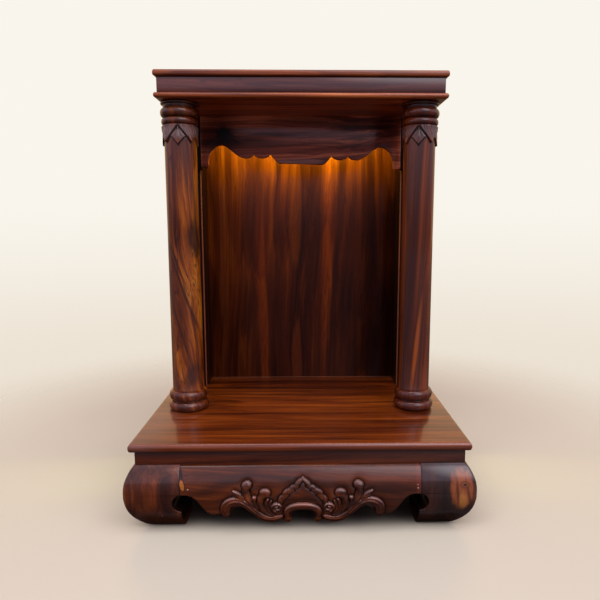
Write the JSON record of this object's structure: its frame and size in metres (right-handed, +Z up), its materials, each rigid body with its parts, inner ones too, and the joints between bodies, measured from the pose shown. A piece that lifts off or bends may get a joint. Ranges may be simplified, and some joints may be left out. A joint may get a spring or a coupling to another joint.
{
  "type": "household altar cabinet",
  "caption": "Low wooden household altar: an open-fronted niche with turned columns, a scalloped valance and a box roof, on a stand with curled feet and a scroll-carved apron.",
  "frame": {"origin": "on the floor, under the middle of the stand", "axes": "+X to the viewer's right when facing the cabinet, +Y from the open front to the back, +Z up; the open front faces -Y"},
  "size_m": [0.4942, 0.3743, 0.6573],
  "materials": {
    "deck_wood": "clear gloss varnish over reddish-brown rosewood with streaks along the width",
    "stand_wood": "clear gloss varnish over very dark red-brown rosewood",
    "apron_wood": "clear gloss varnish over dark red-brown rosewood, carved in low relief at the front",
    "foot_wood": "clear gloss varnish over dark brown rosewood with orange streaks and one pale patch with a knot",
    "column_wood": "clear gloss varnish over mottled orange and near-black rosewood with upright grain",
    "panel_wood": "clear gloss varnish over brown rosewood with dark upright streaks",
    "valance_wood": "clear gloss varnish over dark brown rosewood with grain along the width",
    "frieze_wood": "clear gloss varnish over dark purple-brown rosewood",
    "slab_wood": "clear gloss varnish over orange-brown rosewood edges"
  },
  "bodies": {
    "root": {"deck": "deck_wood", "waist_front": "stand_wood", "waist_back": "stand_wood", "waist_left": "stand_wood", "waist_right": "stand_wood", "apron_front": "apron_wood", "apron_back": "apron_wood", "apron_left": "apron_wood", "apron_right": "apron_wood", "foot_front_left": "foot_wood", "foot_front_right": "foot_wood", "foot_back_left": "foot_wood", "foot_back_right": "foot_wood", "column_left": "column_wood", "column_right": "column_wood", "back_panel": "panel_wood", "side_panel_left": "panel_wood", "side_panel_right": "panel_wood", "valance": "valance_wood", "cleat_left": "valance_wood", "cleat_right": "valance_wood", "roof_board": "slab_wood", "frieze_front": "frieze_wood", "frieze_back": "frieze_wood", "frieze_left": "frieze_wood", "frieze_right": "frieze_wood", "roof_top": "slab_wood"}
  },
  "joints": []
}
